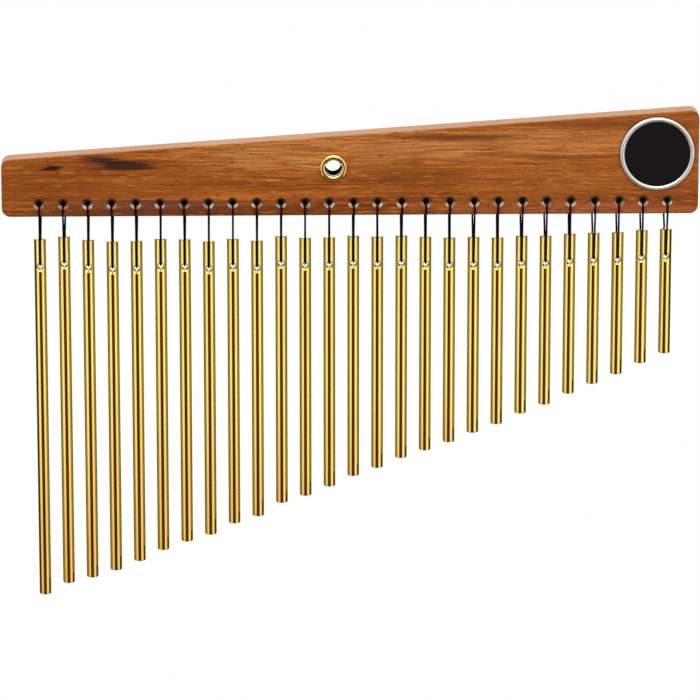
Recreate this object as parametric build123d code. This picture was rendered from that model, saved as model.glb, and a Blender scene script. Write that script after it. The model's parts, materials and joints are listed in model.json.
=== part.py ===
from build123d import *
import math
import os

# Bar chimes: a tapered wooden beam that hangs on an eyelet and carries a row of metal bars,
# each bar on its own loop of cord. Millimetres and degrees.
# The origin is the middle of the eyelet's bore. +X runs along the beam towards the short bars,
# +Y points to the rear and +Z up.

# Row of bars, longest bar first: the gap that is left above each bar, as its loop was tied by hand
BAR_DROPS = [
    19.9, 17.9, 20.7, 22.3, 22.0, 20.2, 20.7, 22.5, 20.5,
    22.1, 18.4, 20.0, 19.8, 18.5, 19.3, 18.6, 19.8, 20.5,
    20.1, 20.6, 19.2, 19.4, 17.8, 17.2, 16.8, 15.1, 14.4,
]
BAR_PITCH = 19.5
BAR_DIAMETER = 9.5
LONGEST_BAR_LENGTH = 300.0
BAR_STEP = 7.55
BAR_END_CHAMFER = 0.4
CROSS_HOLE_DROP = 23.0
CROSS_HOLE_DIAMETER = 4.8
CROSS_HOLE_SINK = 1.3

# Beam
BEAM_THICKNESS = 19.0
BEAM_LEFT_HEIGHT = 47.0
BEAM_RIGHT_HEIGHT = 85.5
BEAM_LEFT_MARGIN = 30.0
BEAM_RIGHT_MARGIN = 25.0
BEAM_CORNER_RADIUS = 7.0
BEAM_EDGE_RADIUS = 1.2
STRING_HOLE_HEIGHT = 10.5
STRING_HOLE_DIAMETER = 4.6
STRING_HOLE_SINK = 2.4

# Eyelet, set through the beam at its balance point
EYELET_HEIGHT = 39.0
EYELET_OFF_MIDDLE = 16.2
EYELET_BORE = 13.0
EYELET_WALL = 0.8
EYELET_CLEARANCE = 0.1
FLANGE_WIDTH = 4.5
FLANGE_RISE = 1.9
WASHER_THICKNESS = 1.0
WASHER_CHAMFER = 0.3
FLARE_WIDTH = 2.9
FLARE_RISE = 1.3

# Round badge at the beam's tall end
BADGE_DIAMETER = 60.0
BADGE_MARGIN = 3.7
BADGE_RISE = 2.0
BADGE_RIM_WIDTH = 3.5
BADGE_RIM_WALL = 1.0
BADGE_FLOOR = 0.6
BADGE_FACE_THICKNESS = 0.8
BADGE_FACE_CLEARANCE = 0.1
BADGE_FACE_CHAMFER = 0.3

# Cord loops
CORD_DIAMETER = 1.6
CORD_CLEARANCE = 0.15
CORD_STANDOFF = 0.3
CORD_BEND = 2.5
CORD_EDGE_BEND = 20.0
KNOT_DIAMETER = 4.8
KNOT_SAG = 1.1
TAIL_LENGTH = 7.0
TAIL_LEAN = 38.0

# How far a cutter reaches past the face that it opens, and how far its seam line is turned
# away from the planes of symmetry
OVERSHOOT = 1.0
SEAM_TURN = 37.0

# Places that follow from the sizes above
BAR_COUNT = len(BAR_DROPS)
ROW_LENGTH = (BAR_COUNT - 1) * BAR_PITCH
FIRST_BAR_X = EYELET_OFF_MIDDLE - ROW_LENGTH / 2
BEAM_LEFT = FIRST_BAR_X - BEAM_LEFT_MARGIN
BEAM_RIGHT = FIRST_BAR_X + ROW_LENGTH + BEAM_RIGHT_MARGIN
BEAM_BOTTOM = -EYELET_HEIGHT
BEAM_FACE = BEAM_THICKNESS / 2
STRING_HOLE_Z = BEAM_BOTTOM + STRING_HOLE_HEIGHT
BORE_RADIUS = EYELET_BORE / 2
BARREL_RADIUS = BORE_RADIUS + EYELET_WALL
FLANGE_RADIUS = BORE_RADIUS + FLANGE_WIDTH
CORD_RADIUS = CORD_DIAMETER / 2


def bar_x(index):
    """Place of a bar along the beam."""
    return FIRST_BAR_X + index * BAR_PITCH


def bar_length(index):
    """Each bar is one step shorter than the bar before it."""
    return LONGEST_BAR_LENGTH - index * BAR_STEP


def bar_top(index):
    """Height of a bar's upper end."""
    return BEAM_BOTTOM - BAR_DROPS[index]


def hanging_height(index):
    """Height of the cord's centre where it carries a bar, at the top of the cross hole."""
    hole = bar_top(index) - CROSS_HOLE_DROP
    return hole + CROSS_HOLE_DIAMETER / 2 - CORD_RADIUS - CORD_CLEARANCE


def turned(*lines):
    """Solid turned about the Y axis from a closed outline of radius and depth."""
    return revolve(make_face(Curve() + list(lines)), axis=Axis.Y)


def hole_cutter(diameter, depth, sink):
    """Cutter along Y for a through hole with a countersink at both mouths."""
    radius = diameter / 2
    neck = depth / 2 - sink
    mouth = depth / 2 + OVERSHOOT
    wide = radius + sink + OVERSHOOT
    outline = Polyline(
        (0, -mouth), (wide, -mouth), (radius, -neck), (radius, neck), (wide, mouth), (0, mouth),
        close=True,
    )
    return Rot(0, SEAM_TURN, 0) * turned(outline)


def make_beam():
    """Tapered beam with softened edges, the string holes and the eyelet's hole."""
    corners = [
        (BEAM_LEFT, BEAM_BOTTOM),
        (BEAM_RIGHT, BEAM_BOTTOM),
        (BEAM_RIGHT, BEAM_BOTTOM + BEAM_RIGHT_HEIGHT),
        (BEAM_LEFT, BEAM_BOTTOM + BEAM_LEFT_HEIGHT),
    ]
    outline = Plane.XZ * make_face(Polyline(*corners, close=True))
    board = extrude(outline, amount=BEAM_FACE, both=True)
    board = fillet(board.edges().filter_by(Axis.Y), BEAM_CORNER_RADIUS)
    faces = board.faces().sort_by(Axis.Y)
    rims = faces[0].edges() + faces[-1].edges()
    board = fillet(rims, BEAM_EDGE_RADIUS)
    string_hole = hole_cutter(STRING_HOLE_DIAMETER, BEAM_THICKNESS, STRING_HOLE_SINK)
    cutters = [Pos(bar_x(index), 0, STRING_HOLE_Z) * string_hole for index in range(BAR_COUNT)]
    barrel_hole = BARREL_RADIUS + EYELET_CLEARANCE
    cutters.append(Cylinder(barrel_hole, BEAM_THICKNESS + 2 * OVERSHOOT, rotation=(90, 0, 0)))
    return board - cutters


def make_eyelet():
    """Brass eyelet: a domed front flange, a barrel through the beam and a flare at the rear."""
    seat = BEAM_FACE + WASHER_THICKNESS
    flare_radius = BORE_RADIUS + FLARE_WIDTH
    flange_crest = (BORE_RADIUS + FLANGE_WIDTH / 2, -BEAM_FACE - FLANGE_RISE)
    flare_crest = (BORE_RADIUS + FLARE_WIDTH / 2, seat + FLARE_RISE)
    flange = ThreePointArc((BORE_RADIUS, -BEAM_FACE), flange_crest, (FLANGE_RADIUS, -BEAM_FACE))
    outside = Polyline(
        (FLANGE_RADIUS, -BEAM_FACE), (BARREL_RADIUS, -BEAM_FACE), (BARREL_RADIUS, seat),
        (flare_radius, seat),
    )
    flare = ThreePointArc((flare_radius, seat), flare_crest, (BORE_RADIUS, seat))
    bore = Line((BORE_RADIUS, seat), (BORE_RADIUS, -BEAM_FACE))
    return turned(flange, outside, flare, bore)


def make_eyelet_washer():
    """Flat ring at the rear that the eyelet's barrel is flared over."""
    inner = BARREL_RADIUS + EYELET_CLEARANCE
    back = BEAM_FACE + WASHER_THICKNESS
    outline = Polyline(
        (inner, BEAM_FACE), (FLANGE_RADIUS, BEAM_FACE), (FLANGE_RADIUS, back - WASHER_CHAMFER),
        (FLANGE_RADIUS - WASHER_CHAMFER, back), (inner, back),
        close=True,
    )
    return turned(outline)


def badge_place():
    """Centre of the badge on the beam's front face, the same margin from the end and the top."""
    radius = BADGE_DIAMETER / 2
    x = BEAM_RIGHT - BADGE_MARGIN - radius
    rise = (BEAM_RIGHT_HEIGHT - BEAM_LEFT_HEIGHT) / (BEAM_RIGHT - BEAM_LEFT)
    top = BEAM_BOTTOM + BEAM_LEFT_HEIGHT + rise * (x - BEAM_LEFT)
    return Pos(x, -BEAM_FACE, top - (BADGE_MARGIN + radius) * math.hypot(1, rise))


def make_badge_rim():
    """Shallow metal dish with a rounded rim, which holds the badge's face."""
    outer = BADGE_DIAMETER / 2
    inner = outer - BADGE_RIM_WIDTH
    crest = (outer - BADGE_RIM_WIDTH / 2, -BADGE_RISE)
    floor = Polyline((inner, -BADGE_RIM_WALL), (inner, -BADGE_FLOOR), (0, -BADGE_FLOOR), (0, 0))
    back = Polyline((0, 0), (outer, 0), (outer, -BADGE_RIM_WALL))
    rim = ThreePointArc((outer, -BADGE_RIM_WALL), crest, (inner, -BADGE_RIM_WALL))
    return badge_place() * turned(floor, back, rim)


def make_badge_face():
    """Bare disc that fills the dish."""
    radius = BADGE_DIAMETER / 2 - BADGE_RIM_WIDTH - BADGE_FACE_CLEARANCE
    front = -BADGE_FLOOR - BADGE_FACE_THICKNESS
    outline = Polyline(
        (0, -BADGE_FLOOR), (radius, -BADGE_FLOOR), (radius, front + BADGE_FACE_CHAMFER),
        (radius - BADGE_FACE_CHAMFER, front), (0, front),
        close=True,
    )
    return badge_place() * turned(outline)


def make_bar(index):
    """Solid rod with chamfered ends and a countersunk cross hole from front to back."""
    rod = Cylinder(
        BAR_DIAMETER / 2, bar_length(index), align=(Align.CENTER, Align.CENTER, Align.MAX)
    )
    rod = chamfer(rod.edges().filter_by(GeomType.CIRCLE), BAR_END_CHAMFER)
    cross_hole = hole_cutter(CROSS_HOLE_DIAMETER, BAR_DIAMETER, CROSS_HOLE_SINK)
    rod -= Pos(0, 0, -CROSS_HOLE_DROP) * cross_hole
    return Pos(bar_x(index), 0, bar_top(index)) * rod


def loop_route(index):
    """Corners of a cord loop: from the knot through the beam, down the front, through the bar
    and up the rear to the knot."""
    x = bar_x(index)
    front = BEAM_FACE + CORD_CLEARANCE + CORD_RADIUS
    knot = BEAM_FACE + CORD_CLEARANCE + KNOT_DIAMETER / 2
    side = BAR_DIAMETER / 2 + CORD_STANDOFF + CORD_RADIUS
    in_beam = STRING_HOLE_Z - STRING_HOLE_DIAMETER / 2 + CORD_RADIUS + CORD_CLEARANCE
    in_bar = hanging_height(index)
    return [
        (x, knot, in_beam),
        (x, -front, in_beam),
        (x, -front, BEAM_BOTTOM),
        (x, -side, in_bar),
        (x, side, in_bar),
        (x, knot, in_beam - KNOT_SAG),
    ]


def make_cord(index):
    """Cord loop with its knot and two cut tails behind the beam."""
    route = loop_route(index)
    bends = [CORD_BEND, CORD_EDGE_BEND, CORD_BEND, CORD_BEND]
    path = FilletPolyline(*route, radius=bends)
    tube = sweep(Plane(path @ 0, z_dir=path % 0) * Circle(CORD_RADIUS), path=path)
    expected = math.pi * CORD_RADIUS**2 * path.length
    print(
        f"cord {index + 1}: radii {bends}, length {path.length:.1f},"
        f" volume {tube.volume:.2f} of {expected:.2f}"
    )
    knot = Pos(*route[-1])
    tail = Cylinder(CORD_RADIUS, TAIL_LENGTH, align=(Align.CENTER, Align.CENTER, Align.MIN))
    tails = [knot * Rot(0, lean, 0) * tail for lean in (-TAIL_LEAN, TAIL_LEAN)]
    return tube + [knot * Sphere(KNOT_DIAMETER / 2), *tails]


def main():
    """Write one file for each piece."""
    os.makedirs("parts", exist_ok=True)
    pieces = {
        "beam": make_beam(),
        "eyelet": make_eyelet(),
        "eyelet_washer": make_eyelet_washer(),
        "badge_rim": make_badge_rim(),
        "badge_face": make_badge_face(),
    }
    for index in range(BAR_COUNT):
        pieces[f"bar_{index + 1:02d}"] = make_bar(index)
        pieces[f"cord_{index + 1:02d}"] = make_cord(index)
    for name, piece in pieces.items():
        export_step(piece, f"parts/{name}.step")


main()
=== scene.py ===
import json
import math

import bpy
from mathutils import Matrix, Vector


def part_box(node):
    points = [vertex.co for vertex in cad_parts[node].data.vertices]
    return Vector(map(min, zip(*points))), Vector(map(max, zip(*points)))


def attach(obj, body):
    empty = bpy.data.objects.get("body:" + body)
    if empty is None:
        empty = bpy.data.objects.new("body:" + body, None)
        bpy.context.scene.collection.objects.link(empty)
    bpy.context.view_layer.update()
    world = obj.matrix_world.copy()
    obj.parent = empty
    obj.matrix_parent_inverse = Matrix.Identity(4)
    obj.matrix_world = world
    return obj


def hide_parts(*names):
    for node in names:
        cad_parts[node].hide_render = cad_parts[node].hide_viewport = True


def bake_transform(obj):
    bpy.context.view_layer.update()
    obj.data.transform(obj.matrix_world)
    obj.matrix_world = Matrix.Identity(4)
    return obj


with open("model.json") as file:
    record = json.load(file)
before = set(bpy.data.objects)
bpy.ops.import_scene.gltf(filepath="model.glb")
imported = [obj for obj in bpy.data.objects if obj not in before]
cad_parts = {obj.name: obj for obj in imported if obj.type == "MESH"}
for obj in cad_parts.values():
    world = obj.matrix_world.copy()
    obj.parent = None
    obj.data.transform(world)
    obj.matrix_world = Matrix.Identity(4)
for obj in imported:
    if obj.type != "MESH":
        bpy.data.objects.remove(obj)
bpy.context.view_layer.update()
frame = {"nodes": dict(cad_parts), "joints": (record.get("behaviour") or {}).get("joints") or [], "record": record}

# Bar chimes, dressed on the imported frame. Metres and degrees.
# +X runs along the beam towards the short bars, +Y points to the rear and +Z up.
NODES = frame["nodes"]
JOINT_PLACES = {joint["name"]: Vector(joint["pos_m"]) for joint in frame["joints"]}
BAR_NUMBERS = sorted(name[-2:] for name in JOINT_PLACES if name.startswith("sway"))

# Places read from the frame
BEAM_LOW, BEAM_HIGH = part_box("beam")
BEAM_FACE = BEAM_HIGH.y
BEAM_BOTTOM = BEAM_LOW.z
BAR_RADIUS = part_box("bar_01")[1].y
BORE_RADIUS = frame["record"]["mounts"][0]["dims"]["r_mm"] / 1000
BADGE_LOW, BADGE_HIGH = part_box("badge_rim")
BADGE_CENTRE = (BADGE_LOW + BADGE_HIGH) / 2
BADGE_RADIUS = (BADGE_HIGH.x - BADGE_LOW.x) / 2

# String holes and cord loops
STRING_HOLE_HEIGHT = 0.0105
STRING_HOLE_DIAMETER = 0.0046
STRING_HOLE_SINK = 0.0024
STRING_HOLE_Z = BEAM_BOTTOM + STRING_HOLE_HEIGHT
ROW_LEFT = JOINT_PLACES[f"swing_{BAR_NUMBERS[0]}"].x
ROW_RIGHT = JOINT_PLACES[f"swing_{BAR_NUMBERS[-1]}"].x
ROW_MIDDLE = (ROW_LEFT + ROW_RIGHT) / 2
ROW_HALF = (ROW_RIGHT - ROW_LEFT) / 2
CORD_DIAMETER = 0.0016
CORD_RADIUS = CORD_DIAMETER / 2
CORD_CLEARANCE = 0.00015
CORD_STANDOFF = 0.0003
CORD_LEAD = 5 * CORD_DIAMETER
CORD_BULGE = 0.0009
CORD_STRAY = 0.0003
CORD_STRAY_STEP = 2.4
CORD_SPLAY = 0.005
CORD_SIDES = 4
CORD_STEPS = 10
KNOT_DIAMETER = 0.0048
KNOT_SAG = 0.0011
KNOT_SCALE = 0.00072
KNOT_POINTS = 24
KNOT_TURN_STEP = 2.1
TAIL_LENGTH = 0.007
TAIL_LEAN = 38.0
TAIL_STRAY = 8.0
TAIL_STRAY_STEP = 3.1
TAIL_LIFT = 0.0005
TAIL_BENDS = (0.4, 0.75)
MERGE_DISTANCE = 1e-6
SMOOTH_ANGLE = 50.0

# Where the cord lies in its string hole, and where its knot lies behind the beam
IN_BEAM = STRING_HOLE_Z - STRING_HOLE_DIAMETER / 2 + CORD_RADIUS + CORD_CLEARANCE
KNOT_PLACE_Y = BEAM_FACE + CORD_CLEARANCE + KNOT_DIAMETER / 2

# Camera, fitted to the photograph's row of string holes, bar ends and beam corners
CAMERA_TARGET = Vector((0.01355, 0.0, -0.15376))
CAMERA_DISTANCE = 4.028
CAMERA_ELEVATION = 14.6
CAMERA_AZIMUTH = -1.4
CAMERA_LENS = 254.3
CAMERA_SENSOR = 36.0
CAMERA_REACH = 100.0

# Studio: world, floor and soft lights, each light with its width, height and radiance
WORLD_LEVEL = 0.3
FLOOR_HEIGHT = -1.25
FLOOR_SIZE = 40.0
FLOOR_SEEN = (0.86, 0.86, 0.86, 1)
FLOOR_BOUNCE = (0.35, 0.34, 0.33, 1)
SHADOW_REACH = (0.9, 1.6)
SIDE_LIGHT = (2.0, 2.0, 1.9)
SIDE_LIGHT_ANGLE = 55
SIDE_LIGHT_DISTANCE = 2.2
SIDE_LIGHT_HEIGHT = 0.3
SIDE_LIGHT_AIM = (0, 0, 0)
TOP_LIGHT = (2.6, 1.6, 2.4)
TOP_LIGHT_PLACE = (0, -1.1, 1.9)
REAR_LIGHT = (2.6, 1.6, 2.2)
REAR_LIGHT_PLACE = (0, 2.4, 0.6)
MIDDLE_AIM = (0, 0, -0.1)

# Cards that only gloss sees, in a ring round the part. Their angles count from its front
CARD_DISTANCE = 2.3
CARD_GAP = 0.01
CARD_LOW = FLOOR_HEIGHT + CARD_GAP
FRONT_CARD_TOP = 0.4
REAR_CARD_TOP = -0.2
FRONT_CARD_LEFT = -33
FRONT_CARD_RIGHT = 26
SIDE_CARD_ANGLE = 77
REAR_CARD_ANGLE = 125
REAR_CARD_END = 168
FLOOR_CARD_REACH = 1.2
DARK_CARD = (0.085, 0.026, 0.0, 1)
OLIVE_CARD = (0.24, 0.185, 0.05, 1)
SIDE_CARD = (0.050, 0.036, 0.004, 1)
WHITE_CARD = (1.0, 1.0, 1.0, 1)
WARM_FOOT = (0.78, 0.53, 0.45, 1)
CREAM_FOOT = (0.93, 0.76, 0.72, 1)
CARD_FADE = (-1.04, -0.70)

# Tones of the finishes. A pair runs from the low to the high end of its pattern
WHITE = (1, 1, 1, 1)
WOOD_BAND_TONES = ((0.20, 0.042, 0.004, 1), (0.40, 0.102, 0.010, 1))
WOOD_LINE = (0.60, 0.182, 0.029, 1)
WOOD_FIBRE = (0.19, 0.040, 0.004, 1)
WOOD_FLECK = (0.75, 0.295, 0.072, 1)
WOOD_PORE = (0.070, 0.016, 0.003, 1)
# Painted light: a paler tone for the wood's faces that point up
WOOD_TOP_PAINTED_LIGHT = (0.62, 0.29, 0.075, 1)
# Painted shadow: a dark ring on the wood round the badge's rim
BADGE_PAINTED_SHADOW = (0.030, 0.012, 0.006, 1)
# Torn bare wood of the string holes' lower lips, made pale in part by a painted highlight
BARE_LIP_TONES_WITH_PAINTED_HIGHLIGHT = ((0.34, 0.16, 0.075, 1), (0.84, 0.61, 0.44, 1))
# Painted shade on a string hole's lip above its centre
HOLE_PAINTED_UPPER_SHADE = (0.110, 0.052, 0.018, 1)
# Painted shade deeper inside a string hole
HOLE_PAINTED_DEEP_SHADE = (0.012, 0.006, 0.003, 1)
GOLD_TONES = ((0.95, 0.76, 0.20, 1), (0.98, 0.81, 0.22, 1))
GOLD_GRAZING = (0.22, 0.15, 0.03, 1)
BARE_END = (0.98, 0.97, 0.95, 1)
BRASS_TONES = ((0.86, 0.63, 0.22, 1), (0.93, 0.71, 0.30, 1))
# Painted shade inside the eyelet's bore
BORE_PAINTED_SHADE = (0.004, 0.003, 0.002, 1)
RIM_TONES = ((0.84, 0.80, 0.785, 1), (0.93, 0.90, 0.885, 1))
ENAMEL_TONES = ((0.003, 0.003, 0.0035, 1), (0.006, 0.006, 0.0065, 1))
# Cord tones from the braid's knobs to its gaps; the darker gaps are painted shade
CORD_TONES = ((0.005, 0.004, 0.0035, 1), (0.0015, 0.0012, 0.001, 1))

# Sizes of the patterns along X, Y and Z, and heights of their relief
GRAIN_WANDER = (0.25, 0.1, 0.06)
GRAIN_LIFT = 0.004
GRAIN_BANDS = (0.6, 0.05, 0.012)
GRAIN_LINES = (0.12, 0.02, 0.0026)
GRAIN_FIBRES = (0.03, 0.004, 0.0009)
GRAIN_PORES = (0.0055, 0.001, 0.0007)
GRAIN_FLECKS = (0.014, 0.002, 0.001)
FLECK_SHIFT = (3, 5, 7)
GRAIN_RELIEF = 0.00007
TORN_WOOD = (0.006, 0.02, 0.004)
DRAWN_LINES = (0.004, 0.004, 0.2)
GOLD_CLOUDS = (0.016, 0.016, 0.06)
BRASS_CLOUDS = (0.004, 0.004, 0.004)
RIM_GRAIN = (0.0007, 0.0007, 0.0007)
ENAMEL_PEEL = (0.0011, 0.0011, 0.0011)
BADGE_RELIEF = 0.00001
BRAID_KNOBS = (0.0006, 0.0006, 0.0009)
BRAID_RELIEF = 0.00012

# Ranges in which a mask goes from none to full: of a noise, of how far a face points along Z,
# of a mark's own half size, of a string hole's mouth or sink, and of a distance in metres
NOISE_MIDDLE = (0.3, 0.7)
NOISE_WIDE = (0.25, 0.75)
LINE_RANGE = (0.35, 0.66)
FLECK_RANGE = (0.60, 0.72)
PORE_RANGE = (0.62, 0.74)
PORE_DEPTH_RANGE = (0.60, 0.72)
TORN_RANGE = (0.38, 0.62)
BRAID_GAP = (0.2, 0.7)
TOP_FACING = (0.5, 0.95)
END_FACING = (0.99, 0.999)
MARK_EDGE = (1.15, 0.45)
ROW_END = (2.0, 1.5)
# Painted shade above a string hole's centre, counted in its mouth
UPPER_SHADE_RANGE = (-0.4, 0.1)
NECK_RANGE = (0.8, 1.0)
HOLE_SKIN = (0.0001, 0.0004)
HOLE_RIM = 0.0004
BORE_SKIN = (0.0004, 0.0001)
# Depth into the bore where its painted shade begins
BORE_SHADE_DEPTH = (0.0018, 0.0030)
# Reach of the painted shadow ring outside the badge's radius, and how its distance is counted
BADGE_LINE = (0.0013, 0.0002)
BADGE_LINE_SIZE = (1, 0.1, 1)

# How much of a tone shows where its mask is full, and how ragged the edges of the marks are
LINE_SHARE = 0.8
FIBRE_SHARE = 0.6
FLECK_SHARE = 0.42
PORE_SHARE = 0.8
TOP_SHARE = 0.62
BADGE_LINE_SHARE = 0.85
COARSE_RAG = 0.4
FINE_RAG = 0.25

# Roughness at the low and the high end of a pattern
WOOD_ROUGHNESS = (0.36, 0.27)
GOLD_ROUGHNESS = (0.05, 0.08)
BRASS_ROUGHNESS = (0.10, 0.18)
RIM_ROUGHNESS = (0.42, 0.52)
ENAMEL_ROUGHNESS = (0.30, 0.42)
CORD_ROUGHNESS = (0.80, 0.95)
FLOOR_ROUGHNESS = 0.9

# Marks of the board's front: place, half size, colour and share. The tints are paler and darker
# stretches under the grain, and the streaks are dark heart lines and knots over it
FRONT = -BEAM_FACE
WOOD_TINTS = [
    ((-0.0550, FRONT, 0.0120), (0.0700, 0.050, 0.0140), (0.720, 0.285, 0.074, 1), 0.70),
    ((0.1650, FRONT, 0.0200), (0.1000, 0.050, 0.0140), (0.700, 0.272, 0.076, 1), 0.65),
    ((0.1800, FRONT, -0.0120), (0.0900, 0.050, 0.0120), (0.520, 0.160, 0.028, 1), 0.45),
    ((-0.2300, FRONT, -0.0120), (0.0560, 0.050, 0.0150), (0.200, 0.040, 0.004, 1), 0.50),
    ((0.0700, FRONT, -0.0080), (0.0420, 0.050, 0.0130), (0.190, 0.045, 0.008, 1), 0.45),
    ((0.0450, FRONT, 0.0160), (0.0800, 0.050, 0.0140), (0.700, 0.275, 0.075, 1), 0.60),
    ((-0.2200, FRONT, 0.0030), (0.0500, 0.050, 0.0110), (0.200, 0.040, 0.004, 1), 0.50),
    ((-0.1450, FRONT, -0.0120), (0.0800, 0.050, 0.0120), (0.240, 0.052, 0.006, 1), 0.40),
    # Painted shade: the long dark tint along the lower front edge
    ((-0.1000, FRONT, -0.0365), (0.2700, 0.050, 0.0070), (0.085, 0.022, 0.006, 1), 0.75),
    ((0.2000, FRONT, -0.0360), (0.1100, 0.050, 0.0060), (0.480, 0.140, 0.055, 1), 0.60),
]
WOOD_STREAKS = [
    ((-0.2270, FRONT, 0.0004), (0.0100, 0.050, 0.0030), (0.016, 0.008, 0.006, 1), 0.95),
    ((-0.1870, FRONT, 0.0066), (0.0250, 0.050, 0.0052), (0.046, 0.019, 0.013, 1), 0.92),
    ((-0.1700, FRONT, 0.0030), (0.0260, 0.050, 0.0056), (0.034, 0.015, 0.011, 1), 0.94),
    ((-0.1420, FRONT, -0.0290), (0.0900, 0.050, 0.0055), (0.130, 0.042, 0.032, 1), 0.60),
    ((0.1000, FRONT, 0.0245), (0.0520, 0.050, 0.0030), (0.100, 0.026, 0.008, 1), 0.70),
    ((0.2200, FRONT, 0.0350), (0.0900, 0.050, 0.0036), (0.150, 0.042, 0.012, 1), 0.60),
    ((0.1830, FRONT, 0.0094), (0.0700, 0.050, 0.0016), (0.130, 0.036, 0.010, 1), 0.60),
]


def deselect():
    """Start an operator with nothing selected."""
    if bpy.context.mode != "OBJECT":
        bpy.ops.object.mode_set(mode="OBJECT")
    bpy.ops.object.select_all(action="DESELECT")


def add_node(tree, kind, **settings):
    """Add a shader node with its settings."""
    made = tree.nodes.new(kind)
    for name, value in settings.items():
        setattr(made, name, value)
    return made


def wire(tree, source, target):
    """Join an output to an input, or set the input to a plain value."""
    if isinstance(source, bpy.types.NodeSocket):
        tree.links.new(source, target)
    else:
        target.default_value = source


def new_material(name, **sockets):
    """Material with a Principled shader whose plain sockets are set here."""
    material = bpy.data.materials.new(name)
    material.use_nodes = True
    shader = material.node_tree.nodes["Principled BSDF"]
    for socket, value in sockets.items():
        shader.inputs[socket.replace("_", " ")].default_value = value
    return material, material.node_tree, shader


def object_place(tree):
    """Position on the object, in metres."""
    return add_node(tree, "ShaderNodeTexCoord").outputs["Object"]


def axes(tree, vector):
    """The X, Y and Z of a vector."""
    made = add_node(tree, "ShaderNodeSeparateXYZ")
    wire(tree, vector, made.inputs["Vector"])
    return made.outputs["X"], made.outputs["Y"], made.outputs["Z"]


def sized(tree, place, size, shift=(0, 0, 0)):
    """Position counted in pattern sizes along each axis."""
    mapping = add_node(tree, "ShaderNodeMapping")
    mapping.inputs["Location"].default_value = shift
    mapping.inputs["Scale"].default_value = tuple(1 / length for length in size)
    wire(tree, place, mapping.inputs["Vector"])
    return mapping.outputs["Vector"]


def noise(tree, place, size, detail=2.0, roughness=0.55, shift=(0, 0, 0)):
    """Noise whose features have a given size along each axis."""
    made = add_node(tree, "ShaderNodeTexNoise")
    wire(tree, sized(tree, place, size, shift), made.inputs["Vector"])
    made.inputs["Scale"].default_value = 1.0
    made.inputs["Detail"].default_value = detail
    made.inputs["Roughness"].default_value = roughness
    return made.outputs["Fac"]


def spread(tree, value, low, high, to_low=0.0, to_high=1.0):
    """Map a value from one range to another, smoothly and clamped."""
    made = add_node(tree, "ShaderNodeMapRange", interpolation_type="SMOOTHSTEP")
    wire(tree, value, made.inputs["Value"])
    made.inputs["From Min"].default_value = low
    made.inputs["From Max"].default_value = high
    made.inputs["To Min"].default_value = to_low
    made.inputs["To Max"].default_value = to_high
    return made.outputs["Result"]


def sums(tree, operation, first, second=0.0):
    """One step of arithmetic on one or two values."""
    made = add_node(tree, "ShaderNodeMath", operation=operation)
    wire(tree, first, made.inputs[0])
    wire(tree, second, made.inputs[1])
    return made.outputs["Value"]


def span(tree, vector):
    """Length of a vector."""
    made = add_node(tree, "ShaderNodeVectorMath", operation="LENGTH")
    wire(tree, vector, made.inputs[0])
    return made.outputs["Value"]


def mixed(tree, share, first, second):
    """Mix of two colours."""
    made = add_node(tree, "ShaderNodeMix", data_type="RGBA")
    wire(tree, share, made.inputs["Factor"])
    for colour, socket in zip((first, second), [s for s in made.inputs if s.type == "RGBA"]):
        wire(tree, colour, socket)
    return [socket for socket in made.outputs if socket.type == "RGBA"][0]


def bump(tree, shader, height, distance):
    """Raise the surface by a height from 0 to 1 times a distance."""
    made = add_node(tree, "ShaderNodeBump")
    made.inputs["Distance"].default_value = distance
    wire(tree, height, made.inputs["Height"])
    wire(tree, made.outputs["Normal"], shader.inputs["Normal"])


def distance_from(tree, place, centre, size):
    """Distance from a point, counted in a size of its own along each axis."""
    shift = tuple(-middle / length for middle, length in zip(centre, size))
    return span(tree, sized(tree, place, size, shift))


def blot(tree, place, centre, size, ragged):
    """Soft mark of a given half size round a point of the front, with a ragged edge."""
    distance = sums(tree, "ADD", distance_from(tree, place, centre, size), ragged)
    return spread(tree, distance, *MARK_EDGE)


def marked(tree, place, marks, ragged, tone):
    """Lay soft marks over a tone."""
    for centre, size, colour, share in marks:
        mark = blot(tree, place, centre, size, ragged)
        tone = mixed(tree, sums(tree, "MULTIPLY", mark, share), tone, colour)
    return tone


def grain_place(tree, place):
    """Position on the board, with the grain's slow wander up and down."""
    wander = noise(tree, place, GRAIN_WANDER)
    lift = add_node(tree, "ShaderNodeCombineXYZ")
    wire(tree, spread(tree, wander, 0.0, 1.0, -GRAIN_LIFT, GRAIN_LIFT), lift.inputs["Z"])
    bent = add_node(tree, "ShaderNodeVectorMath", operation="ADD")
    wire(tree, place, bent.inputs[0])
    wire(tree, lift.outputs["Vector"], bent.inputs[1])
    return bent.outputs["Vector"]


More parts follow.
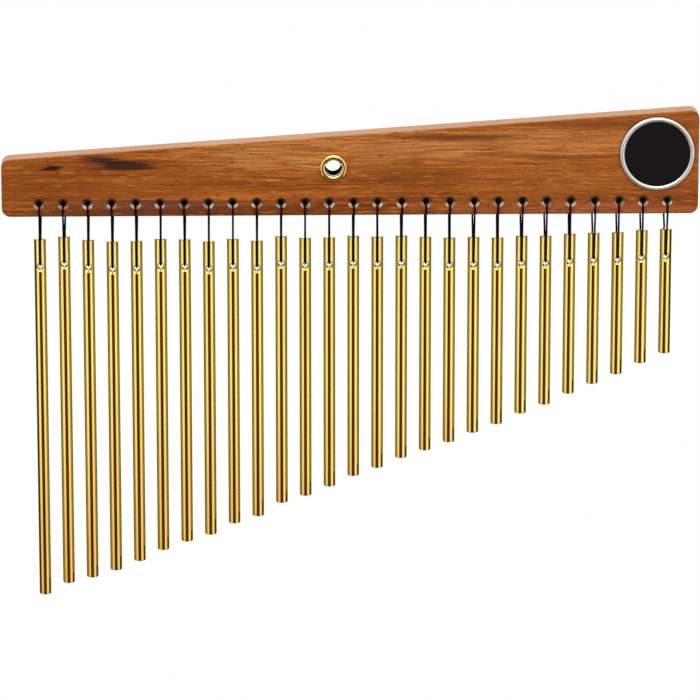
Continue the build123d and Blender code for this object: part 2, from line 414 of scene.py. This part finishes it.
def string_hole_tone(tree, place, tone):
    """String holes: bare wood, a painted highlight on the lower lip, painted shade above and deep in."""
    x, y, z = axes(tree, place)
    along = sums(tree, "ABSOLUTE", sums(tree, "SUBTRACT", x, ROW_MIDDLE))
    depth = sums(tree, "ABSOLUTE", y)
    height = sums(tree, "SUBTRACT", z, STRING_HOLE_Z)
    mouth = STRING_HOLE_DIAMETER / 2 + STRING_HOLE_SINK
    inside = spread(tree, depth, BEAM_FACE - HOLE_SKIN[0], BEAM_FACE - HOLE_SKIN[1])
    in_row = spread(tree, along, ROW_HALF + ROW_END[0] * mouth, ROW_HALF + ROW_END[1] * mouth)
    inside = sums(tree, "MULTIPLY", inside, in_row)
    near = spread(tree, sums(tree, "ABSOLUTE", height), mouth + HOLE_RIM, mouth)
    torn = spread(tree, noise(tree, place, TORN_WOOD), *TORN_RANGE)
    lip = mixed(tree, torn, *BARE_LIP_TONES_WITH_PAINTED_HIGHLIGHT)
    # Painted shade: the lip above the hole's centre is darkened
    painted_upper_shade = spread(tree, height, UPPER_SHADE_RANGE[0] * mouth, UPPER_SHADE_RANGE[1] * mouth)
    bare = mixed(tree, painted_upper_shade, lip, HOLE_PAINTED_UPPER_SHADE)
    shallow, neck = (BEAM_FACE - share * STRING_HOLE_SINK for share in NECK_RANGE)
    # Painted shade: the hole turns near black past the neck of its sink
    painted_deep_shade = spread(tree, depth, shallow, neck)
    bare = mixed(tree, painted_deep_shade, bare, HOLE_PAINTED_DEEP_SHADE)
    return mixed(tree, sums(tree, "MULTIPLY", inside, near), tone, bare)


def wood_material():
    """Reddish-brown hardwood with its grain along the beam, under a satin varnish."""
    material, tree, shader = new_material(
        "wood_satin_varnish", Specular_IOR_Level=0.28, Coat_Weight=0.04, Coat_Roughness=0.15
    )
    place = object_place(tree)
    grain = grain_place(tree, place)
    bands = noise(tree, grain, GRAIN_BANDS)
    lines = noise(tree, grain, GRAIN_LINES, detail=4.0, roughness=0.66)
    fibres = noise(tree, grain, GRAIN_FIBRES)
    pores = noise(tree, grain, GRAIN_PORES, detail=1.0)
    flecks = noise(tree, grain, GRAIN_FLECKS, detail=1.0, shift=FLECK_SHIFT)
    tone = mixed(tree, spread(tree, bands, *NOISE_MIDDLE), *WOOD_BAND_TONES)
    tone = mixed(tree, spread(tree, lines, *LINE_RANGE, 0.0, LINE_SHARE), tone, WOOD_LINE)
    coarse = spread(tree, lines, *NOISE_WIDE, -COARSE_RAG, COARSE_RAG)
    fine = spread(tree, fibres, *NOISE_MIDDLE, -FINE_RAG, FINE_RAG)
    ragged = sums(tree, "ADD", coarse, fine)
    tone = marked(tree, grain, WOOD_TINTS, ragged, tone)
    tone = mixed(tree, spread(tree, fibres, *NOISE_MIDDLE, 0.0, FIBRE_SHARE), tone, WOOD_FIBRE)
    tone = mixed(tree, spread(tree, flecks, *FLECK_RANGE, 0.0, FLECK_SHARE), tone, WOOD_FLECK)
    tone = marked(tree, grain, WOOD_STREAKS, ragged, tone)
    tone = mixed(tree, spread(tree, pores, *PORE_RANGE, 0.0, PORE_SHARE), tone, WOOD_PORE)
    # Painted light: faces that point up are made paler, as if lit from above
    facing = add_node(tree, "ShaderNodeTexCoord").outputs["Normal"]
    painted_top_light = spread(tree, axes(tree, facing)[2], *TOP_FACING, 0.0, TOP_SHARE)
    tone = mixed(tree, painted_top_light, tone, WOOD_TOP_PAINTED_LIGHT)
    # Painted shadow: a thin dark ring on the wood round the badge's rim
    badge_seat = (BADGE_CENTRE.x, FRONT, BADGE_CENTRE.z)
    from_badge = distance_from(tree, place, badge_seat, BADGE_LINE_SIZE)
    outer, inner = (BADGE_RADIUS + width for width in BADGE_LINE)
    painted_badge_shadow = spread(tree, from_badge, outer, inner, 0.0, BADGE_LINE_SHARE)
    tone = mixed(tree, painted_badge_shadow, tone, BADGE_PAINTED_SHADOW)
    tone = string_hole_tone(tree, place, tone)
    wire(tree, tone, shader.inputs["Base Color"])
    wire(tree, spread(tree, lines, *NOISE_MIDDLE, *WOOD_ROUGHNESS), shader.inputs["Roughness"])
    sunk = spread(tree, pores, *PORE_DEPTH_RANGE, 0.0, PORE_SHARE)
    relief = sums(tree, "SUBTRACT", lines, sunk)
    bump(tree, shader, relief, GRAIN_RELIEF)
    return material


def gold_material():
    """Gold anodised rod, polished along its length, darker at a grazing angle, with bare cut ends."""
    material, tree, shader = new_material("gold_anodised_rod", Metallic=1.0)
    place = object_place(tree)
    drawn = noise(tree, place, DRAWN_LINES)
    cloud = noise(tree, place, GOLD_CLOUDS)
    tone = mixed(tree, spread(tree, cloud, *NOISE_MIDDLE), *GOLD_TONES)
    facing = add_node(tree, "ShaderNodeTexCoord").outputs["Normal"]
    end = spread(tree, sums(tree, "ABSOLUTE", axes(tree, facing)[2]), *END_FACING)
    tone = mixed(tree, end, tone, BARE_END)
    wire(tree, mixed(tree, end, GOLD_GRAZING, WHITE), shader.inputs["Specular Tint"])
    wire(tree, tone, shader.inputs["Base Color"])
    wire(tree, spread(tree, drawn, *NOISE_WIDE, *GOLD_ROUGHNESS), shader.inputs["Roughness"])
    return material


def brass_material():
    """Polished brass, with painted shade inside the bore, where it is near black and without gloss."""
    material, tree, shader = new_material("brass_polished")
    place = object_place(tree)
    cloud = noise(tree, place, BRASS_CLOUDS, detail=3.0)
    tone = mixed(tree, spread(tree, cloud, *NOISE_MIDDLE), *BRASS_TONES)
    x, y, z = axes(tree, place)
    squares = sums(tree, "ADD", sums(tree, "POWER", x, 2.0), sums(tree, "POWER", z, 2.0))
    across = sums(tree, "SQRT", squares)
    inner = spread(tree, across, BORE_RADIUS + BORE_SKIN[0], BORE_RADIUS + BORE_SKIN[1])
    painted_deep_shade = spread(tree, y, BORE_SHADE_DEPTH[0] - BEAM_FACE, BORE_SHADE_DEPTH[1] - BEAM_FACE)
    bore = sums(tree, "MULTIPLY", inner, painted_deep_shade)
    # Painted shade: the bore is near black, not metal and without gloss
    tone = mixed(tree, bore, tone, BORE_PAINTED_SHADE)
    wire(tree, spread(tree, bore, 0.0, 1.0, 1.0, 0.0), shader.inputs["Metallic"])
    wire(tree, spread(tree, bore, 0.0, 1.0, 0.5, 0.0), shader.inputs["Specular IOR Level"])
    wire(tree, tone, shader.inputs["Base Color"])
    wire(tree, spread(tree, cloud, *NOISE_MIDDLE, *BRASS_ROUGHNESS), shader.inputs["Roughness"])
    return material


def badge_metal_material():
    """Bright die-cast rim with a fine satin grain."""
    material, tree, shader = new_material("badge_bright_metal", Metallic=1.0)
    grain = noise(tree, object_place(tree), RIM_GRAIN)
    tone = mixed(tree, spread(tree, grain, *NOISE_MIDDLE), *RIM_TONES)
    wire(tree, tone, shader.inputs["Base Color"])
    wire(tree, spread(tree, grain, *NOISE_MIDDLE, *RIM_ROUGHNESS), shader.inputs["Roughness"])
    bump(tree, shader, grain, BADGE_RELIEF)
    return material


def badge_black_material():
    """Black enamel with a fine orange peel."""
    material, tree, shader = new_material("badge_black_enamel", Specular_IOR_Level=0.25)
    peel = noise(tree, object_place(tree), ENAMEL_PEEL)
    tone = mixed(tree, spread(tree, peel, *NOISE_MIDDLE), *ENAMEL_TONES)
    wire(tree, tone, shader.inputs["Base Color"])
    wire(tree, spread(tree, peel, *NOISE_MIDDLE, *ENAMEL_ROUGHNESS), shader.inputs["Roughness"])
    bump(tree, shader, peel, BADGE_RELIEF)
    return material


def cord_material():
    """Black cord with the small knobs of its braid, and painted shade in the gaps between them."""
    material, tree, shader = new_material("cord_black_braid", Specular_IOR_Level=0.05)
    place = object_place(tree)
    knobs = add_node(tree, "ShaderNodeTexVoronoi")
    wire(tree, sized(tree, place, BRAID_KNOBS), knobs.inputs["Vector"])
    knobs.inputs["Scale"].default_value = 1.0
    # Painted shade: the braid's gaps are darker
    gap = spread(tree, knobs.outputs["Distance"], *BRAID_GAP)
    tone = mixed(tree, gap, *CORD_TONES)
    wire(tree, tone, shader.inputs["Base Color"])
    wire(tree, spread(tree, gap, 0.0, 1.0, *CORD_ROUGHNESS), shader.inputs["Roughness"])
    bump(tree, shader, sums(tree, "SUBTRACT", 1.0, gap), BRAID_RELIEF)
    return material


def dress(name, material):
    """Give a node of the frame its finish."""
    slots = NODES[name].data.materials
    slots.clear()
    slots.append(material)


def cord_curve(name, lines):
    """Curve of smooth NURBS lines through lists of control points."""
    curve = bpy.data.curves.new(name, "CURVE")
    curve.dimensions = "3D"
    for points in lines:
        spline = curve.splines.new("NURBS")
        spline.points.add(len(points) - 1)
        for point, place in zip(spline.points, points):
            point.co = (*place, 1.0)
        spline.order_u = 3
        spline.use_endpoint_u = True
        spline.resolution_u = CORD_STEPS
    return curve


def line_points(curve):
    """Points along a curve that has no thickness yet."""
    bare = bpy.data.objects.new("bare_line", curve)
    mesh = bpy.data.meshes.new_from_object(bare)
    points = [vertex.co.copy() for vertex in mesh.vertices]
    bpy.data.meshes.remove(mesh)
    bpy.data.objects.remove(bare)
    return points


def cord_tube(name, curve):
    """Round closed tube along a curve, as a mesh."""
    curve.bevel_depth = CORD_RADIUS
    curve.bevel_resolution = CORD_SIDES
    curve.use_fill_caps = True
    tube = bpy.data.objects.new(name, curve)
    bpy.context.collection.objects.link(tube)
    deselect()
    tube.select_set(True)
    bpy.context.view_layer.objects.active = tube
    bpy.ops.object.convert(target="MESH")
    bpy.ops.object.mode_set(mode="EDIT")
    bpy.ops.mesh.select_all(action="SELECT")
    bpy.ops.mesh.remove_doubles(threshold=MERGE_DISTANCE)
    bpy.ops.mesh.normals_make_consistent(inside=False)
    bpy.ops.object.mode_set(mode="OBJECT")
    bpy.ops.object.shade_smooth_by_angle(angle=math.radians(SMOOTH_ANGLE))
    return tube


def loop_points(number):
    """Control points of a loop: from the knot through the beam, over the lip of its hole, down the
    front, through the bar and up the rear to the knot."""
    x, _, hang = JOINT_PLACES[f"sway_{number}"]
    front = BEAM_FACE + CORD_CLEARANCE + CORD_RADIUS
    side = BAR_RADIUS + CORD_STANDOFF + CORD_RADIUS
    stray = CORD_STRAY * math.sin(CORD_STRAY_STEP * int(number))
    return [
        (x, KNOT_PLACE_Y, IN_BEAM),
        (x, CORD_LEAD - front, IN_BEAM),
        (x + stray, -front, IN_BEAM),
        (x + stray, -front, BEAM_BOTTOM),
        (x, -side - CORD_BULGE, hang + CORD_LEAD),
        (x, -side, hang),
        (x, 0.0, hang),
        (x, side, hang),
        (x, side + CORD_BULGE, hang + CORD_LEAD),
        (x - stray - CORD_SPLAY * x, KNOT_PLACE_Y, IN_BEAM - KNOT_SAG),
    ]


def make_knot(number):
    """Overhand knot behind the beam, with its two cut tails."""
    x = JOINT_PLACES[f"sway_{number}"].x
    depth = BEAM_FACE + CORD_CLEARANCE + KNOT_SCALE + CORD_RADIUS
    centre = Vector((x, depth, IN_BEAM - KNOT_SAG / 2))
    turn = Matrix.Rotation(KNOT_TURN_STEP * int(number), 3, "Y")
    ring = []
    for step in range(KNOT_POINTS + 1):
        t = 2 * math.pi * step / KNOT_POINTS
        trefoil = Vector((
            math.sin(t) + 2 * math.sin(2 * t),
            -math.sin(3 * t),
            math.cos(t) - 2 * math.cos(2 * t),
        ))
        ring.append(centre + turn @ trefoil * KNOT_SCALE)
    lines = [ring]
    lift = Vector((0, TAIL_LIFT, 0))
    for side in (-1, 1):
        stray = TAIL_STRAY * math.sin(TAIL_STRAY_STEP * int(number) + side)
        lean = math.radians(TAIL_LEAN * side + stray)
        tail = Vector((math.sin(lean), 0.0, math.cos(lean))) * TAIL_LENGTH
        bends = [centre + tail * share + lift for share in TAIL_BENDS]
        lines.append([centre, *bends, centre + tail])
    return cord_tube(f"knot_{number}", cord_curve(f"knot_{number}", lines))


def make_loop(number, material):
    """Cord loop of one bar, which bends at the beam's lower edge, and its knot."""
    node = f"cord_{number}"
    knot = make_knot(number)
    knot.data.materials.append(material)
    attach(knot, "beam")
    curve = cord_curve(f"loop_{number}", [loop_points(number)])
    path = line_points(curve)
    loop = cord_tube(f"loop_{number}", curve)
    loop.data.materials.append(material)
    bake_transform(loop)
    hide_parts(node)


def place_camera():
    """Camera at the photograph's angle."""
    tilt = math.radians(CAMERA_ELEVATION)
    turn = math.radians(CAMERA_AZIMUTH)
    back = Vector((
        math.sin(turn) * math.cos(tilt),
        -math.cos(turn) * math.cos(tilt),
        math.sin(tilt),
    ))
    deselect()
    bpy.ops.object.camera_add(
        location=CAMERA_TARGET + back * CAMERA_DISTANCE,
        rotation=back.to_track_quat("Z", "Y").to_euler(),
    )
    camera = bpy.context.object
    camera.data.sensor_width = CAMERA_SENSOR
    camera.data.lens = CAMERA_LENS
    camera.data.clip_end = CAMERA_REACH
    bpy.context.scene.camera = camera


def background_rays(tree):
    """1 for rays that see the background itself: from the camera, in gloss and through glass."""
    path = add_node(tree, "ShaderNodeLightPath")
    seen = sums(tree, "MAXIMUM", path.outputs["Is Camera Ray"], path.outputs["Is Glossy Ray"])
    return sums(tree, "MAXIMUM", seen, path.outputs["Is Transmission Ray"])


def make_world():
    """White background, and a softer level of light from all round."""
    world = bpy.data.worlds.new("studio")
    bpy.context.scene.world = world
    world.use_nodes = True
    tree = world.node_tree
    background = tree.nodes["Background"]
    background.inputs["Color"].default_value = WHITE
    strength = spread(tree, background_rays(tree), 0.0, 1.0, WORLD_LEVEL, 1.0)
    wire(tree, strength, background.inputs["Strength"])


def make_floor():
    """Pale floor that takes the shadow below the part and is white further out."""
    deselect()
    bpy.ops.mesh.primitive_plane_add(size=FLOOR_SIZE, location=(0, 0, FLOOR_HEIGHT))
    floor = bpy.context.object
    floor.name = "floor"
    material, tree, shader = new_material("floor_white", Roughness=FLOOR_ROUGHNESS)
    tone = mixed(tree, background_rays(tree), FLOOR_BOUNCE, FLOOR_SEEN)
    wire(tree, tone, shader.inputs["Base Color"])
    outer = spread(tree, span(tree, object_place(tree)), *SHADOW_REACH)
    glow = add_node(tree, "ShaderNodeEmission")
    mix = add_node(tree, "ShaderNodeMixShader")
    wire(tree, sums(tree, "MULTIPLY", background_rays(tree), outer), mix.inputs[0])
    wire(tree, shader.outputs[0], mix.inputs[1])
    wire(tree, glow.outputs[0], mix.inputs[2])
    wire(tree, mix.outputs[0], tree.nodes["Material Output"].inputs["Surface"])
    floor.data.materials.append(material)


def add_softbox(name, place, aim, light, in_gloss):
    """Large soft light that the camera doesn't see, and gloss only where it is meant to."""
    width, height, radiance = light
    deselect()
    turn = (Vector(place) - Vector(aim)).to_track_quat("Z", "Y").to_euler()
    bpy.ops.object.light_add(type="AREA", location=place, rotation=turn)
    softbox = bpy.context.object
    softbox.name = name
    softbox.data.shape = "RECTANGLE"
    softbox.data.size = width
    softbox.data.size_y = height
    softbox.data.energy = radiance * math.pi * width * height
    softbox.visible_camera = False
    softbox.visible_glossy = in_gloss


def add_card(name, corners, colour, foot=None):
    """Card that only gloss sees, for the metal's stripes. Its foot may fade to another colour."""
    deselect()
    bpy.ops.mesh.primitive_plane_add(size=1.0)
    card = bpy.context.object
    card.name = name
    for vertex, corner in zip(card.data.vertices, corners):
        vertex.co = corner
    material, tree, shader = new_material(
        name,
        Base_Color=(0, 0, 0, 1),
        Specular_IOR_Level=0.0,
        Emission_Color=colour,
        Emission_Strength=1.0,
    )
    if foot:
        height = spread(tree, axes(tree, object_place(tree))[2], *CARD_FADE)
        wire(tree, mixed(tree, height, foot, colour), shader.inputs["Emission Color"])
    card.data.materials.append(material)
    card.visible_camera = False
    card.visible_diffuse = False
    card.visible_transmission = False
    card.visible_volume_scatter = False
    card.visible_shadow = False


def ring_place(azimuth, distance):
    """Floor point at an angle from the front of the part."""
    turn = math.radians(azimuth)
    return (math.sin(turn) * distance, -math.cos(turn) * distance)


def standing(start, end, high):
    """Corners of an upright card between two angles from the front of the part."""
    left, right = ring_place(start, CARD_DISTANCE), ring_place(end, CARD_DISTANCE)
    return [(*left, CARD_LOW), (*right, CARD_LOW), (*left, high), (*right, high)]


def make_studio():
    """Soft light from the sides, from above and from the rear, and a ring of cards with one below."""
    for side in (-1, 1):
        x, y = ring_place(SIDE_LIGHT_ANGLE * side, SIDE_LIGHT_DISTANCE)
        place = (x, y, SIDE_LIGHT_HEIGHT)
        add_softbox(f"softbox_side_{side}", place, SIDE_LIGHT_AIM, SIDE_LIGHT, False)
        flank = standing(SIDE_CARD_ANGLE * side, REAR_CARD_ANGLE * side, REAR_CARD_TOP)
        add_card(f"card_side_{side}", flank, SIDE_CARD)
        rear = standing(REAR_CARD_ANGLE * side, REAR_CARD_END * side, REAR_CARD_TOP)
        add_card(f"card_rear_{side}", rear, OLIVE_CARD)
    add_softbox("softbox_above", TOP_LIGHT_PLACE, MIDDLE_AIM, TOP_LIGHT, True)
    add_softbox("softbox_rear", REAR_LIGHT_PLACE, MIDDLE_AIM, REAR_LIGHT, False)
    add_card("card_front", standing(FRONT_CARD_LEFT, FRONT_CARD_RIGHT, FRONT_CARD_TOP), DARK_CARD)
    left = standing(-SIDE_CARD_ANGLE, FRONT_CARD_LEFT, FRONT_CARD_TOP)
    add_card("card_left", left, WHITE_CARD, WARM_FOOT)
    right = standing(FRONT_CARD_RIGHT, SIDE_CARD_ANGLE, FRONT_CARD_TOP)
    add_card("card_right", right, WHITE_CARD, CREAM_FOOT)
    across = (-FLOOR_CARD_REACH, FLOOR_CARD_REACH)
    below = [(x, y, CARD_LOW) for y in (-CARD_DISTANCE, FLOOR_CARD_REACH) for x in across]
    add_card("card_below", below, OLIVE_CARD)


place_camera()
make_world()
make_floor()
make_studio()
FINISHES = {
    "wood": wood_material(),
    "gold_bar": gold_material(),
    "brass": brass_material(),
    "badge_metal": badge_metal_material(),
    "badge_black": badge_black_material(),
    "cord": cord_material(),
}
for part in frame["record"]["subparts"]:
    dress(part["node"], FINISHES[part["material_slot"]])
for number in BAR_NUMBERS:
    make_loop(number, FINISHES["cord"])

bpy.context.scene.view_settings.view_transform = "Standard"
